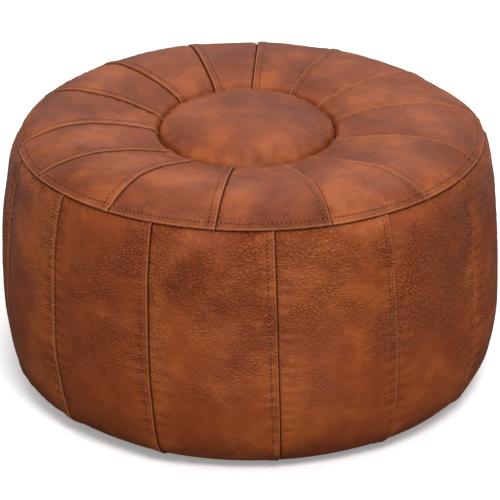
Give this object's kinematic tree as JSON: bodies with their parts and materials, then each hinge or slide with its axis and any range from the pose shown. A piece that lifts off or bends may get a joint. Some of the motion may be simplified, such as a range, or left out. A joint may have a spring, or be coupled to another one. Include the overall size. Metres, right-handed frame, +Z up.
{
  "type": "moroccan leather pouf",
  "caption": "Round stuffed leather pouf: radial top wedges sewn round a centre disc, side gores turned under, and a zipped recessed base.",
  "frame": {"origin": "on the floor under the middle of the pouf", "axes": "+Z up; -Y is the front, where the settled top leans lowest; +X is the viewer's right"},
  "size_m": [0.5496, 0.549, 0.3137],
  "materials": {
    "leather_top": "satin",
    "leather_side": "satin",
    "leather_base": "matte",
    "zip_tape": "matte",
    "zip_coil": "satin",
    "zip_brass": "satin",
    "liner_cotton": "matte",
    "stuffing_fibre": "matte"
  },
  "bodies": {
    "cover": {"top_disc": "leather_top", "top_wedge_01": "leather_top", "top_wedge_02": "leather_top", "top_wedge_03": "leather_top", "top_wedge_04": "leather_top", "top_wedge_05": "leather_top", "top_wedge_06": "leather_top", "top_wedge_07": "leather_top", "top_wedge_08": "leather_top", "top_wedge_09": "leather_top", "top_wedge_10": "leather_top", "top_wedge_11": "leather_top", "top_wedge_12": "leather_top", "top_wedge_13": "leather_top", "top_wedge_14": "leather_top", "side_gore_01": "leather_side", "side_gore_02": "leather_side", "side_gore_03": "leather_side", "side_gore_04": "leather_side", "side_gore_05": "leather_side", "side_gore_06": "leather_side", "side_gore_07": "leather_side", "side_gore_08": "leather_side", "side_gore_09": "leather_side", "side_gore_10": "leather_side", "side_gore_11": "leather_side", "side_gore_12": "leather_side", "side_gore_13": "leather_side", "side_gore_14": "leather_side", "base_front": "leather_base", "base_back": "leather_base", "zip_tape_front": "zip_tape", "zip_tape_back": "zip_tape", "zip_coil_front": "zip_coil", "zip_coil_back": "zip_coil", "zip_bottom_stop": "zip_brass", "zip_top_stop": "zip_brass", "inner_liner": "liner_cotton", "stuffing": "stuffing_fibre"},
    "zip_slider": {"zip_slider": "zip_brass"},
    "zip_pull": {"zip_pull": "zip_brass"}
  },
  "joints": [
    {"name": "zip_slide", "type": "slide", "parent": "cover", "child": "zip_slider", "axis": [-1, 0, 0], "range_m": [0, 0.295]},
    {"name": "zip_pull_hinge", "type": "hinge", "parent": "zip_slider", "child": "zip_pull", "pos_m": [0.15, 0, 0.0056], "axis": [0, -1, 0], "range_deg": [0, 180]}
  ]
}
